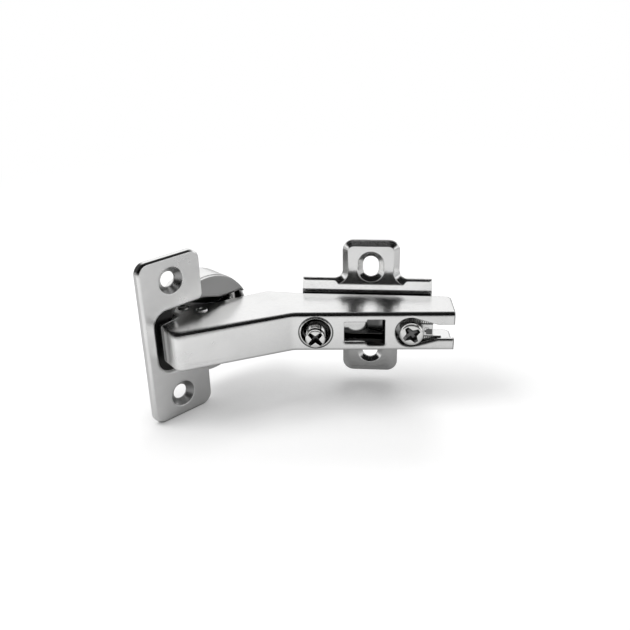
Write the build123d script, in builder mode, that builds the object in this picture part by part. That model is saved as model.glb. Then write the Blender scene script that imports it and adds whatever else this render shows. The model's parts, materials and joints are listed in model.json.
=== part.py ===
"""Angled concealed cabinet hinge with a slide-on arm, cup and cross mounting plate.

Millimetres. The origin is on the back of the mounting plate, midway between
its two screw slots. +X runs along the plate into the cabinet, +Y goes into the
cabinet side that the plate is screwed to, and +Z runs along the hinge pins.
The hinge is drawn closed.
"""
from build123d import *
import os
from math import atan2, cos, degrees, hypot, radians, sin

os.makedirs("parts", exist_ok=True)

# Fits and sheets
pin_fit = 0.02        # a rivet or pin pressed in its hole
running_fit = 0.06    # a link's eye on its pin, or a screw in its thread
side_play = 0.1       # between faces that turn past each other
arm_sheet = 1.3
plate_sheet = 1.2

# Mounting plate, measured from the line through its two screw slots
plate_front = 24.2
plate_rear = 21.5
foot_half = 11.3
foot_edge = 0.5
shoulder_half = 7.7
shoulder_rise = 3.0
channel_half = 5.1
channel_round = 1.2
bed_low = 13.5
bed_high = 18.0
bed_step_start = 4.5
bed_step_end = 8.0
wing_half = 10.0
wing_reach = 25.65
wing_corner = 4.0
wing_web = 3.0
wing_edge = 0.6
wing_rise = 1.8
wing_bevel_angle = 60
slot_spacing = 32.0
slot_width = 5.5
slot_length = 7.5
slot_sink = 1.9
slot_land = 0.2
keyhole_x = -4.8
keyhole_play = 0.25
tail_length = 4.2
tail_half = 2.2
tail_rise = 0.3
tail_hole = 1.4

# Arm: its web is a strip bent once, its cheeks run back towards the cabinet side
arm_tilt = 3.84
arm_height = 22.9
bend_x = -25.2
arm_half = 7.0
arm_rear = 53.9
bend_angle = 22.6
arm_front = 39.8
bend_round = 6.0
nose_round = 3.0
web_round = 1.2
cheek_rear = 13.7
cheek_step_x = 1.95
cheek_step = 17.6
cheek_deep_x = -10.6
cheek_deep = 19.7
cheek_round = 4.0
rear_round = 2.5

# Openings in the arm's web, along the arm from the bend
funnel_x = 7.5
funnel_radius = 5.5
funnel_depth = 2.4
boss_depth = 4.6
window_start = 17.0
window_step = 24.7
window_end = 30.8
window_small_half = 3.8
window_large_half = 4.65
window_corner = 0.4
fork_x = 39.4
fork_radius = 5.2
mouth_half = 2.7
mouth_start = 48.5
mouth_round = 3.0

# Cup and its ears: u runs across the cup towards the door's edge, n out of the cup
door_angle = 46.4
ear_centre = (-38.65, -4.14)
ear_near = 11.75
ear_far = 11.85
ear_half = 29.2
ear_thick = 2.4
ear_corner = 3.9
ear_edge = 0.6
ear_screw_spacing = 42.0
ear_screw_radius = 2.65
ear_sink_radius = 4.62
opening_near = 7.7
opening_half = 11.0
opening_corner = 5.0
opening_lip = 2.0
nook_floor = 0.5         # the sheet left under the opening beside the cup's body
cup_radius = 17.5
cup_centre = 15.0
cup_wall = 1.0
cup_face = 1.0
cup_depth = 13.4
cup_floor = 1.0
cup_bottom_bevel = 1.6
cup_rim_relief = 0.3    # the cup's rim is a little smaller than its body
moon_thick = 1.3
pocket_half = 11.0
waist_half = 8.95       # the pocket narrows between these two places across the cup
waist_start = 12.6
waist_end = 19.6
waist_round = 6.0
pocket_wall = 1.2
block_from_rim = 9.7
block_half = 8.0
block_top = 2.6
notch_depth = 3.2

# Linkage: the four pivots in the cup's (u, n) axes, closed, two of them set in from its far rim
arm_pivot_outer = (10.8, 0.1)
arm_pivot_inner = (7.7, -6.3)
outer_from_rim = 6.7
inner_from_rim = 4.92
cup_pivot_outer = (cup_centre + cup_radius - outer_from_rim, -4.31)
cup_pivot_inner = (cup_centre + cup_radius - inner_from_rim, -7.67)
open_eye_shift = (0.62, -0.19)   # the inner link's loose eye, off its pin when closed
open_eye_play = 0.75             # how far that eye may wander round its pin
pin_radius = 1.25
cup_pin_radius = 1.1
pin_seat = 1.5                   # how deep the cup's pins sit in its walls
pin_head_radius = 1.95
pin_head_height = 0.45
shoulder_radius = 2.2
rivet_head_thick = 0.4
link_eye = 2.3
link_sheet = 1.1
link_half = 5.3
link_web = 0.85
link_web_end = 3.0
inner_half = 3.4
inner_eye = 2.2
inner_bar = 1.25
open_eye_wall = 0.75

# Nose and hook of the arm, in the cup's (u, n) axes
nose_low = (-5.5, -0.4)
hook_near = 2.0
hook_top = -1.9
hook_bottom = -10.2
hook_far = 9.5
hook_throat = (15.2, -3.4)
hook_back = (18.6, -1.75)
hook_round = 3.0

# Closing spring
wire = 0.9
coil_radius = 1.85
coil_half = 3.0
coil_whole_turns = 2
wire_facets = 5
leg_relief = 0.02     # the legs are drawn this much thinner, to join the coil cleanly
web_leg = 13.35
link_leg = 5.0

# Screws
overlay_radius = 3.3
overlay_out = 5.1
overlay_chamfer = 0.4
overlay_neck_radius = 2.0
overlay_foot_radius = 3.2
overlay_foot_thick = 1.2
bed_play = 0.5
slot_play = 0.4
fixing_x = 14.3
fixing_radius = 2.5
fixing_head_radius = 4.0
fixing_head_thick = 1.6
fixing_head_bevel = 0.5
fixing_head_out = 22.5
fixing_tip = 10.5
recess_width = 1.2
recess_depth = 1.9
recess_span = 4.6
overlay_recess_angle = 45
fixing_recess_angle = 20

# Directions. The arm's plane looks along the pins, with x to the rear of the arm.
tilt = radians(arm_tilt)
bend = radians(bend_angle)
turn = radians(door_angle)
arm_plane = Plane(origin=(bend_x, -arm_height, 0), x_dir=(cos(tilt), sin(tilt), 0), z_dir=(0, 0, 1))
web_plane = Plane(origin=arm_plane.origin, x_dir=arm_plane.x_dir, z_dir=-arm_plane.y_dir)
door_u = Vector(cos(tilt + turn), sin(tilt + turn), 0)
door_n = Vector(sin(tilt + turn), -cos(tilt + turn), 0)
door_origin = arm_plane.from_local_coords(Vector(*ear_centre, 0))
cup_section = Plane(origin=door_origin, x_dir=door_u, z_dir=(0, 0, -1))
cup_front = Plane(origin=door_origin, x_dir=door_u, z_dir=door_n)


def on_arm(point):
    """A point given on the cup's (u, n) axes, in the arm's own axes."""
    u, n = point
    return (
        ear_centre[0] + u * cos(turn) + n * sin(turn),
        ear_centre[1] + u * sin(turn) - n * cos(turn),
    )


def meeting(start, along, other, across):
    """Where the line from start along one direction meets the line from other."""
    (ax, ay), (bx, by) = along, across
    gap_x, gap_y = other[0] - start[0], other[1] - start[1]
    reach = (gap_x * by - gap_y * bx) / (ax * by - ay * bx)
    return start[0] + reach * ax, start[1] + reach * ay


def corner(sketch, point):
    """The sketch's vertex nearest to a point."""
    return sketch.vertices().sort_by_distance(point)[0]


def cross_recess(plane, angle):
    """The four-way driver recess of a screw, tapered towards its tip."""
    with BuildSketch(plane) as recess:
        Rectangle(recess_span, recess_width, rotation=angle)
        Rectangle(recess_width, recess_span, rotation=angle)
        Circle(recess_width)
    return extrude(recess.sketch, amount=-recess_depth, taper=12, mode=Mode.PRIVATE)


# The plate's outline, seen from the front: a foot with a wing above and below
with BuildSketch() as plan:
    with Locations(((plate_rear - plate_front) / 2, 0)):
        Rectangle(plate_front + plate_rear, 2 * foot_half)
    Rectangle(2 * wing_half, 2 * wing_reach)
    tips = plan.vertices().filter_by(lambda v: abs(abs(v.Y) - wing_reach) < 0.01)
    fillet(tips, wing_corner)
    inside = plan.vertices().filter_by(lambda v: abs(abs(v.X) - wing_half) < 0.01)
    fillet(inside.filter_by(lambda v: abs(abs(v.Y) - foot_half) < 0.01), wing_web)

# Mounting plate: one pressed sheet, with a foot along the arm, two wings and a raised channel
with BuildPart() as mounting_plate:
    with BuildSketch(Plane.XZ):
        add(plan.sketch)
    extrude(amount=wing_edge)
    with BuildSketch(Plane.XZ.offset(wing_edge)):
        add(plan.sketch)
    extrude(amount=wing_rise - wing_edge, taper=wing_bevel_angle)
    with BuildSketch(Plane.YZ.offset(-plate_front)):
        Polygon(
            (0, foot_half), (-foot_edge, foot_half), (-shoulder_rise, shoulder_half),
            (-shoulder_rise, -shoulder_half), (-foot_edge, -foot_half), (0, -foot_half),
            align=None,
        )
    extrude(amount=plate_front + plate_rear)
    with BuildSketch(Plane.XY):
        Polygon(
            (-plate_front, 0), (-plate_front, -bed_low), (bed_step_start, -bed_low),
            (bed_step_end, -bed_high), (plate_rear, -bed_high), (plate_rear, 0),
            align=None,
        )
    extrude(amount=channel_half, both=True)
    rims = mounting_plate.edges().filter_by(
        lambda e: e.center().Y < -bed_low + 0.1
        and abs(abs(e.center().Z) - channel_half) < 0.01
        and abs((e @ 1 - e @ 0).X) > 1
    )
    fillet(rims, channel_round)
    # The hollow back of the pressing
    with BuildSketch(Plane.XZ):
        offset(plan.sketch, -plate_sheet)
    extrude(amount=wing_rise - plate_sheet, mode=Mode.SUBTRACT)
    with BuildSketch(Plane.YZ.offset(-plate_front - 1)):
        Polygon(
            (0.1, foot_half - plate_sheet), (-0.1, foot_half - plate_sheet),
            (-shoulder_rise + plate_sheet, shoulder_half - plate_sheet / 2),
            (-shoulder_rise + plate_sheet, -shoulder_half + plate_sheet / 2),
            (-0.1, -foot_half + plate_sheet), (0.1, -foot_half + plate_sheet),
            align=None,
        )
    extrude(amount=plate_front + plate_rear + 2, mode=Mode.SUBTRACT)
    with BuildSketch(Plane.XY):
        Polygon(
            (-plate_front - 1, 1), (-plate_front - 1, -bed_low + plate_sheet),
            (bed_step_start, -bed_low + plate_sheet), (bed_step_end, -bed_high + plate_sheet),
            (plate_rear + 1, -bed_high + plate_sheet), (plate_rear + 1, 1),
            align=None,
        )
    extrude(amount=channel_half - plate_sheet, both=True, mode=Mode.SUBTRACT)
    # Screw slots in the wings, countersunk
    with BuildSketch(Plane.XZ):
        with Locations((0, slot_spacing / 2), (0, -slot_spacing / 2)):
            SlotOverall(slot_length, slot_width, rotation=90)
    extrude(amount=wing_rise, mode=Mode.SUBTRACT)
    with BuildSketch(Plane.XZ.offset(wing_rise)):
        with Locations((0, slot_spacing / 2), (0, -slot_spacing / 2)):
            SlotOverall(slot_length + 2 * slot_sink, slot_width + 2 * slot_sink, rotation=90)
    extrude(amount=-(plate_sheet - slot_land), taper=62, mode=Mode.SUBTRACT)
    # Keyhole and slot for the overlay screw's foot, open at the front
    with BuildSketch(Plane.XZ.offset(bed_low - plate_sheet - 1)):
        with Locations((keyhole_x, 0)):
            Circle(overlay_foot_radius + keyhole_play)
        with Locations(((keyhole_x - plate_front) / 2 - 1, 0)):
            Rectangle(plate_front + keyhole_x + 2, 2 * (overlay_neck_radius + slot_play))
    extrude(amount=plate_sheet + 2, mode=Mode.SUBTRACT)
    # Thread for the fixing screw, drawn inwards as a collar
    with BuildSketch(Plane.XZ.offset(bed_high - plate_sheet)):
        with Locations((fixing_x, 0)):
            Circle(fixing_radius + plate_sheet)
    extrude(amount=-2 * plate_sheet)
    with BuildSketch(Plane.XZ.offset(bed_high)):
        with Locations((fixing_x, 0)):
            Circle(fixing_radius + running_fit)
    extrude(amount=-4 * plate_sheet, mode=Mode.SUBTRACT)
    # Tab at the tail of the channel, with its small hole
    with BuildSketch(Plane.XZ.offset(bed_high)):
        with Locations((plate_rear - tail_length / 2, 0)):
            Rectangle(tail_length, 2 * tail_half)
    extrude(amount=tail_rise)
    with BuildSketch(Plane.XZ.offset(bed_high + tail_rise)):
        with Locations((plate_rear - tail_length / 2, 0)):
            Rectangle(tail_hole, tail_hole)
    extrude(amount=-2 * plate_sheet, mode=Mode.SUBTRACT)
mounting_plate.part.label = "mounting_plate"
export_step(mounting_plate.part, "parts/mounting_plate.step")

# The arm's outline, seen along the pins
nose_tip = (-arm_front * cos(bend), -arm_front * sin(bend))
cheek_corners = (
    ((0, 0), bend_round),
    (nose_tip, nose_round),
    (on_arm(nose_low), side_play),
    (on_arm((hook_near, hook_bottom)), hook_round),
    (on_arm((hook_far, hook_bottom)), hook_round),
    (on_arm(hook_back), cheek_round),
    ((cheek_deep_x, cheek_deep), cheek_round),
    ((cheek_step_x, cheek_step), cheek_round),
    ((arm_rear, cheek_rear), rear_round),
)
with BuildSketch() as arm_outline:
    Polygon(
        (arm_rear, 0), (0, 0), nose_tip, on_arm(nose_low), on_arm((hook_near, hook_top)),
        on_arm((hook_near, hook_bottom)), on_arm((hook_far, hook_bottom)), on_arm(hook_throat),
        on_arm(hook_back), (cheek_deep_x, cheek_deep), (cheek_step_x, cheek_step),
        (arm_rear, cheek_rear), align=None,
    )
    for place, radius in cheek_corners:
        fillet(corner(arm_outline, place), radius)

# The room between the cheeks, one sheet in from the web and from the turned-in nose
front_inner = (-arm_sheet * sin(bend), arm_sheet * cos(bend))
front_along = (cos(bend), sin(bend))
nose_inner = on_arm((nose_low[0] + arm_sheet, nose_low[1]))
nose_along = (sin(turn), -cos(turn))
beyond = 2 * cheek_deep
with BuildSketch() as channel_room:
    Polygon(
        (arm_rear + 1, arm_sheet), meeting((0, arm_sheet), (1, 0), front_inner, front_along),
        meeting(nose_inner, nose_along, front_inner, front_along),
        on_arm((nose_low[0] + arm_sheet, hook_bottom - 2)),
        (-beyond, beyond), (arm_rear + 1, beyond), align=None,
    )


def on_web(edge):
    """Whether an edge of the arm runs along its web or its turned-in nose."""
    place = arm_plane.to_local_coords(edge.center())
    depth = max(place.Y, place.Y * cos(bend) - place.X * sin(bend))
    across = (edge.center() - door_origin).dot(door_u)
    return abs(abs(place.Z) - arm_half) < 0.01 and (depth < arm_sheet or across < nose_low[0] + 0.6)


# Arm: a folded channel with a funnel for the overlay screw, a window and a rear fork
with BuildPart() as hinge_arm:
    with BuildSketch(arm_plane):
        add(arm_outline.sketch)
    extrude(amount=arm_half, both=True)
    fillet(hinge_arm.edges().filter_by(on_web), web_round)
    with BuildSketch(arm_plane):
        add(channel_room.sketch)
    extrude(amount=arm_half - arm_sheet, both=True, mode=Mode.SUBTRACT)
    # Funnel drawn inwards, threaded at its foot for the overlay screw
    with BuildSketch(web_plane.offset(-arm_sheet / 2)):
        with Locations((funnel_x, 0)):
            Circle(funnel_radius)
    extrude(amount=arm_sheet / 2 - boss_depth, taper=8)
    with BuildSketch(web_plane):
        with Locations((funnel_x, 0)):
            Circle(funnel_radius)
    extrude(amount=-funnel_depth, taper=38, mode=Mode.SUBTRACT)
    with BuildSketch(web_plane):
        with Locations((funnel_x, 0)):
            Circle(overlay_radius + running_fit)
    extrude(amount=-2 * boss_depth, mode=Mode.SUBTRACT)
    # Window, then the fork with its round seat and narrow mouth
    with BuildSketch(web_plane.offset(-arm_sheet / 2)) as window:
        with Locations(((window_start + window_end) / 2, 0)):
            Rectangle(window_end - window_start, 2 * window_small_half)
        with Locations(((window_step + window_end) / 2, 0)):
            Rectangle(window_end - window_step, 2 * window_large_half)
        fillet(window.vertices(), window_corner)
    extrude(amount=arm_sheet, both=True, mode=Mode.SUBTRACT)
    with BuildSketch(web_plane.offset(-arm_sheet / 2)) as fork:
        Polygon(
            (fork_x + 1.6, fork_radius - 0.25), (mouth_start, mouth_half),
            (arm_rear + 1, mouth_half), (arm_rear + 1, -mouth_half),
            (mouth_start, -mouth_half), (fork_x + 1.6, 0.25 - fork_radius),
            align=None,
        )
        for side in (1, -1):
            fillet(corner(fork, (mouth_start, side * mouth_half)), mouth_round)
        with Locations((fork_x, 0)):
            Circle(fork_radius)
    extrude(amount=arm_sheet, both=True, mode=Mode.SUBTRACT)
    # Holes for the two arm pins
    with BuildSketch(cup_section):
        with Locations(arm_pivot_outer, arm_pivot_inner):
            Circle(pin_radius + pin_fit)
    extrude(amount=arm_half + 1, both=True, mode=Mode.SUBTRACT)
hinge_arm.part.label = "hinge_arm"
export_step(hinge_arm.part, "parts/hinge_arm.step")


def arm_pin(name, pivot):
    """A pin through both cheeks of the arm, with a flat head pressed on each side."""
    with BuildPart() as pin:
        with BuildSketch(cup_section):
            with Locations(pivot):
                Circle(pin_radius)
        extrude(amount=arm_half, both=True)
        for side in (-1, 1):
            with BuildSketch(cup_section.offset(side * arm_half)):
                with Locations(pivot):
                    Circle(pin_head_radius)
            extrude(amount=side * pin_head_height)
    pin.part.label = name
    export_step(pin.part, f"parts/{name}.step")


arm_pin("arm_pin_outer", arm_pivot_outer)
arm_pin("arm_pin_inner", arm_pivot_inner)

# Directions of the outer link in the cup's (u, n) axes: along it, and out of its web
link_length = hypot(
    cup_pivot_outer[0] - arm_pivot_outer[0], cup_pivot_outer[1] - arm_pivot_outer[1]
)
link_along = (
    (cup_pivot_outer[0] - arm_pivot_outer[0]) / link_length,
    (cup_pivot_outer[1] - arm_pivot_outer[1]) / link_length,
)
link_out = (-link_along[1], link_along[0])
web_start = coil_radius + wire / 2 + side_play / 2


def on_link(along, out):
    """A point along and out from the outer link's line, in the cup's (u, n) axes."""
    return (
        arm_pivot_outer[0] + along * link_along[0] + out * link_out[0],
        arm_pivot_outer[1] + along * link_along[1] + out * link_out[1],
    )


# Outer link: a folded channel, two flanges with an eye at each end and a web over them
with BuildPart() as outer_link:
    for side in (-1, 1):
        with BuildSketch(cup_section.offset(side * (link_half - link_sheet))):
            with Locations(arm_pivot_outer, cup_pivot_outer):
                Circle(link_eye)
            make_hull()
            Polygon(
                on_link(link_web_end, web_start + link_web),
                on_link(link_length - link_web_end, web_start + link_web),
                on_link(link_length - 1, 0), on_link(1, 0), align=None,
            )
            with Locations(arm_pivot_outer, cup_pivot_outer):
                Circle(pin_radius + running_fit, mode=Mode.SUBTRACT)
        extrude(amount=side * link_sheet)
    with BuildSketch(cup_section):
        Polygon(
            on_link(link_web_end, web_start), on_link(link_web_end, web_start + link_web),
            on_link(link_length - link_web_end, web_start + link_web),
            on_link(link_length - link_web_end, web_start), align=None,
        )
    extrude(amount=link_half, both=True)
outer_link.part.label = "outer_link"
export_step(outer_link.part, "parts/outer_link.step")

# Inner link: a bar with a close eye on the arm's pin and a loose eye round the cup's pin
open_eye = (cup_pivot_inner[0] + open_eye_shift[0], cup_pivot_inner[1] + open_eye_shift[1])
open_eye_radius = cup_pin_radius + open_eye_play
inner_length = hypot(open_eye[0] - arm_pivot_inner[0], open_eye[1] - arm_pivot_inner[1])
bar_out = (
    -(open_eye[1] - arm_pivot_inner[1]) / inner_length * inner_bar,
    (open_eye[0] - arm_pivot_inner[0]) / inner_length * inner_bar,
)
with BuildPart() as inner_link:
    with BuildSketch(cup_section):
        with Locations(arm_pivot_inner):
            Circle(inner_eye)
        with Locations(open_eye):
            Circle(open_eye_radius + open_eye_wall)
        Polygon(
            (arm_pivot_inner[0] + bar_out[0], arm_pivot_inner[1] + bar_out[1]),
            (open_eye[0] + bar_out[0], open_eye[1] + bar_out[1]),
            (open_eye[0] - bar_out[0], open_eye[1] - bar_out[1]),
            (arm_pivot_inner[0] - bar_out[0], arm_pivot_inner[1] - bar_out[1]),
            align=None,
        )
        with Locations(arm_pivot_inner):
            Circle(pin_radius + running_fit, mode=Mode.SUBTRACT)
        with Locations(open_eye):
            Circle(open_eye_radius, mode=Mode.SUBTRACT)
    extrude(amount=inner_half, both=True)
inner_link.part.label = "inner_link"
export_step(inner_link.part, "parts/inner_link.step")

# Closing spring: a coil round the outer arm pin, one leg on the arm's web, one on the link
coil_centre = cup_section.from_local_coords(Vector(*arm_pivot_outer, 0))
pin_axis = Vector(0, 0, 1)
to_web = arm_plane.x_dir * sin(bend) - arm_plane.y_dir * cos(bend)
to_link = door_u * link_along[0] + door_n * link_along[1]
link_side = to_link.cross(pin_axis)
web_side = pin_axis.cross(to_web)
clockwise = degrees(atan2(link_side.Y, link_side.X) - atan2(web_side.Y, web_side.X)) % 360
coil_turns = coil_whole_turns + clockwise / 360
coil_plane = Plane(origin=coil_centre - pin_axis * coil_half, x_dir=link_side, z_dir=pin_axis)
with BuildLine() as helix:
    Helix(2 * coil_half / coil_turns, 2 * coil_half, coil_radius, lefthand=True)
coil = coil_plane * helix.line
with BuildPart() as closing_spring:
    with BuildSketch(Plane(origin=coil @ 0, x_dir=pin_axis, z_dir=coil % 0)):
        RegularPolygon(wire / 2, wire_facets)
    sweep(path=coil, is_frenet=True)
    link_foot = coil_centre - pin_axis * coil_half + link_side * coil_radius
    with BuildSketch(Plane(origin=link_foot, x_dir=pin_axis, z_dir=to_link)):
        RegularPolygon(wire / 2 - leg_relief, wire_facets)
    extrude(amount=link_leg)
    web_foot = coil_centre + pin_axis * coil_half + web_side * coil_radius
    with BuildSketch(Plane(origin=web_foot, x_dir=pin_axis, z_dir=to_web)):
        RegularPolygon(wire / 2 - leg_relief, wire_facets)
    extrude(amount=web_leg)
closing_spring.part.label = "closing_spring"
export_step(closing_spring.part, "parts/closing_spring.step")

# The opening between the ears, round at its near side
with BuildSketch() as opening:
    with Locations(((ear_far - opening_near) / 2, 0)):
        Rectangle(ear_far + opening_near, 2 * opening_half)
    fillet(opening.vertices().filter_by(lambda v: v.X < 0), opening_corner)

# The pocket's outline, wide at the arm and narrower beside the cup's pins
with BuildSketch() as pocket:
    Polygon(
        (cup_centre - cup_radius, pocket_half), (waist_start, pocket_half), (waist_end, waist_half),
        (cup_centre + cup_radius, waist_half), (cup_centre + cup_radius, -waist_half),
        (waist_end, -waist_half), (waist_start, -pocket_half), (cup_centre - cup_radius, -pocket_half),
        align=None,
    )
    for place in (waist_start, pocket_half), (waist_end, waist_half):
        for side in (1, -1):
            fillet(corner(pocket, (place[0], side * place[1])), waist_round)

# Cup: one casting with two screw ears, a deep pocket between two shoulders
out_of_cup = Axis(door_origin, door_n)
pocket_depth = cup_depth - cup_floor
block_start = cup_centre + cup_radius - block_from_rim
with BuildPart() as hinge_cup:
    with BuildSketch(cup_front.offset(-cup_depth)):
        with Locations((cup_centre, 0)):
            Circle(cup_radius - cup_rim_relief)
    extrude(amount=cup_depth - cup_face)
    with BuildSketch(cup_front.offset(-cup_depth)):
        with Locations((cup_centre, 0)):
            Circle(cup_radius)
    extrude(amount=cup_depth - ear_thick)
    chamfer(hinge_cup.edges().sort_by(out_of_cup)[0], cup_bottom_bevel)
    # Shoulders hollowed from the back
    with BuildSketch(cup_front.offset(-cup_depth)):
        with Locations((cup_centre, 0)):
            Circle(cup_radius - cup_bottom_bevel)
            Rectangle(2 * cup_radius, 2 * (pocket_half + pocket_wall), mode=Mode.SUBTRACT)
    extrude(amount=cup_depth - cup_face - moon_thick, mode=Mode.SUBTRACT)
    # The two ears
    with BuildSketch(cup_front.offset(-ear_thick)) as ears:
        with Locations(((ear_far - ear_near) / 2, 0)):
            RectangleRounded(ear_far + ear_near, 2 * ear_half, ear_corner)
        add(opening.sketch, mode=Mode.SUBTRACT)
        for side in (1, -1):
            fillet(corner(ears, (ear_far, side * opening_half)), opening_lip)
    extrude(amount=ear_thick)
    chamfer(hinge_cup.faces().sort_by(out_of_cup)[-1].edges(), ear_edge)
    # Room for the arm's nose, then the pocket for the links
    with BuildSketch(cup_front):
        add(opening.sketch)
    extrude(amount=-ear_thick, mode=Mode.SUBTRACT)
    with BuildSketch(cup_front.offset(-pocket_depth)):
        add(pocket.sketch)
        with Locations((cup_centre, 0)):
            Circle(cup_radius - cup_wall, mode=Mode.INTERSECT)
    extrude(amount=pocket_depth, mode=Mode.SUBTRACT)
    # The thin floor that closes the opening between the ears and the cup's body
    with BuildSketch(cup_front.offset(-ear_thick)):
        add(opening.sketch)
        with Locations((cup_centre, 0)):
            Circle(cup_radius - cup_wall, mode=Mode.SUBTRACT)
    extrude(amount=nook_floor)
    # Blocks beside the pocket that carry the cup's pins, and the far wall's low stretch
    with BuildSketch(cup_front.offset(-pocket_depth)):
        for side in (1, -1):
            with Locations((block_start + cup_radius / 2, side * (block_half + pocket_half) / 2)):
                Rectangle(cup_radius, pocket_half - block_half + side_play)
        with Locations((cup_centre, 0)):
            Circle(cup_radius - cup_wall / 2, mode=Mode.INTERSECT)
    extrude(amount=pocket_depth - block_top)
    with BuildSketch(cup_front.offset(-notch_depth)):
        with Locations((cup_centre + cup_radius, 0)):
            Rectangle(cup_radius / 2, 2 * block_half)
    extrude(amount=notch_depth, mode=Mode.SUBTRACT)
    with BuildSketch(cup_section):
        with Locations(cup_pivot_outer):
            Circle(pin_radius + pin_fit)
        with Locations(cup_pivot_inner):
            Circle(cup_pin_radius + pin_fit)
    extrude(amount=block_half + pin_seat, both=True, mode=Mode.SUBTRACT)
    # Countersunk screw holes in the ears
    with Locations(cup_front):
        with Locations((0, ear_screw_spacing / 2), (0, -ear_screw_spacing / 2)):
            CounterSinkHole(ear_screw_radius, ear_sink_radius, depth=2 * ear_thick, counter_sink_angle=90)
hinge_cup.part.label = "hinge_cup"
export_step(hinge_cup.part, "parts/hinge_cup.step")

# Inner pin of the cup, from wall to wall
with BuildPart() as cup_pin:
    with BuildSketch(cup_section):
        with Locations(cup_pivot_inner):
            Circle(cup_pin_radius)
    extrude(amount=block_half + pin_seat, both=True)
cup_pin.part.label = "cup_pin"
export_step(cup_pin.part, "parts/cup_pin.step")

# Outer pivot of the cup: a shoulder rivet from each side, so that the inner link can pass between
rivet_steps = (
    (pin_head_radius, link_half - link_sheet - side_play - rivet_head_thick, rivet_head_thick),
    (pin_radius, link_half - link_sheet - side_play, link_sheet + 2 * side_play),
    (shoulder_radius, link_half + side_play, block_half - link_half - 1.5 * side_play),
    (pin_radius, block_half - side_play / 2, pin_seat + side_play / 2),
)
for name, side in (("cup_rivet_upper", -1), ("cup_rivet_lower", 1)):
    with BuildPart() as cup_rivet:
        for radius, start, length in rivet_steps:
            with BuildSketch(cup_section.offset(side * start)):
                with Locations(cup_pivot_outer):
                    Circle(radius)
            extrude(amount=side * length)
    cup_rivet.part.label = name
    export_step(cup_rivet.part, f"parts/{name}.step")

# Overlay screw: threaded in the arm's funnel, its neck and foot held by the plate's slot
overlay_plane = Plane(
    origin=web_plane.from_local_coords(Vector(funnel_x, 0, 0)),
    x_dir=web_plane.x_dir, z_dir=web_plane.z_dir,
)
foot_at = (arm_height - funnel_x * sin(tilt) - bed_low + plate_sheet) / cos(tilt) + bed_play
with BuildPart() as overlay_screw:
    with BuildSketch(overlay_plane.offset(-boss_depth)):
        Circle(overlay_radius)
    extrude(amount=boss_depth + overlay_out)
    end = overlay_screw.edges().sort_by(Axis(overlay_plane.origin, overlay_plane.z_dir))[-1]
    chamfer(end, overlay_chamfer)
    with BuildSketch(overlay_plane.offset(-foot_at)):
        Circle(overlay_neck_radius)
    extrude(amount=foot_at - boss_depth)
    with BuildSketch(overlay_plane.offset(-foot_at)):
        Circle(overlay_foot_radius)
    extrude(amount=-overlay_foot_thick, taper=15)
    add(cross_recess(overlay_plane.offset(overlay_out), overlay_recess_angle), mode=Mode.SUBTRACT)
overlay_screw.part.label = "overlay_screw"
export_step(overlay_screw.part, "parts/overlay_screw.step")

# Fixing screw: a pan head in front of the fork, threaded in the plate's raised bed
fixing_plane = Plane(origin=(fixing_x, -fixing_head_out, 0), x_dir=(1, 0, 0), z_dir=(0, -1, 0))
with BuildPart() as fixing_screw:
    with BuildSketch(fixing_plane):
        Circle(fixing_head_radius)
    extrude(amount=-fixing_head_thick)
    chamfer(fixing_screw.edges().sort_by(Axis.Y)[0], fixing_head_bevel)
    with BuildSketch(fixing_plane.offset(-fixing_head_thick)):
        Circle(fixing_radius)
    extrude(amount=fixing_head_thick + fixing_tip - fixing_head_out)
    add(cross_recess(fixing_plane, fixing_recess_angle), mode=Mode.SUBTRACT)
fixing_screw.part.label = "fixing_screw"
export_step(fixing_screw.part, "parts/fixing_screw.step")
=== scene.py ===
"""Looks for the concealed cabinet hinge: plated finishes, fine details, studio and camera.

Lengths in the classes are millimetres, and every mesh is built in metres in the
row's own frame: origin behind the mounting plate, +Y into the cabinet side, and
+Z along the hinge pins.
"""

import json
import logging
import math
from dataclasses import dataclass, field
from enum import Enum
from typing import Callable, Iterable, Sequence

import bmesh
import bpy
from bmesh.types import BMesh
from bpy.types import ID, Material, Mesh, Node, NodeSocket, NodeTree, Object
from mathutils import Matrix, Quaternion, Vector

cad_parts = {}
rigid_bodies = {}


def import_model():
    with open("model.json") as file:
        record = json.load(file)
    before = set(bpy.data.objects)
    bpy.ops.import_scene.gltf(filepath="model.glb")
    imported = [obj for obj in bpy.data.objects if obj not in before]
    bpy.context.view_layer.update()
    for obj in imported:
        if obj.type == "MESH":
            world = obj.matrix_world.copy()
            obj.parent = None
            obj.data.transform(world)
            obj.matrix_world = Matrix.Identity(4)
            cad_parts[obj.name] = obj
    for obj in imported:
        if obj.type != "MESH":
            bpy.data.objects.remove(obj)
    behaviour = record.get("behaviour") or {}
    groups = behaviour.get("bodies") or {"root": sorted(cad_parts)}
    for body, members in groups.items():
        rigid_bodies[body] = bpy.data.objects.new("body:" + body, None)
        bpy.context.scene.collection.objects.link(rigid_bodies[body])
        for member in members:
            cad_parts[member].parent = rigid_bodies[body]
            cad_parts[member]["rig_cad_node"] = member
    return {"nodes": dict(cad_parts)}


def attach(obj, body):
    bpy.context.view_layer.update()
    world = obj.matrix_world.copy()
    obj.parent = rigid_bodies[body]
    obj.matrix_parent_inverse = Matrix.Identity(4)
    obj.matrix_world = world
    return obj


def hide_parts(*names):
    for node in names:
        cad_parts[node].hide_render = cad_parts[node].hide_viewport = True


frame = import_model()

LOG = logging.getLogger("hinge")
MM = 0.001
UP = Vector((0.0, 0.0, 1.0))
WHITE = (1.0, 1.0, 1.0, 1.0)
BLACK = (0.0, 0.0, 0.0, 1.0)
Point = tuple[float, float, float]
Profile = Sequence[tuple[float, float]]
Sockets = bpy.types.bpy_prop_collection
Value = NodeSocket | float | Sequence[float]


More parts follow.
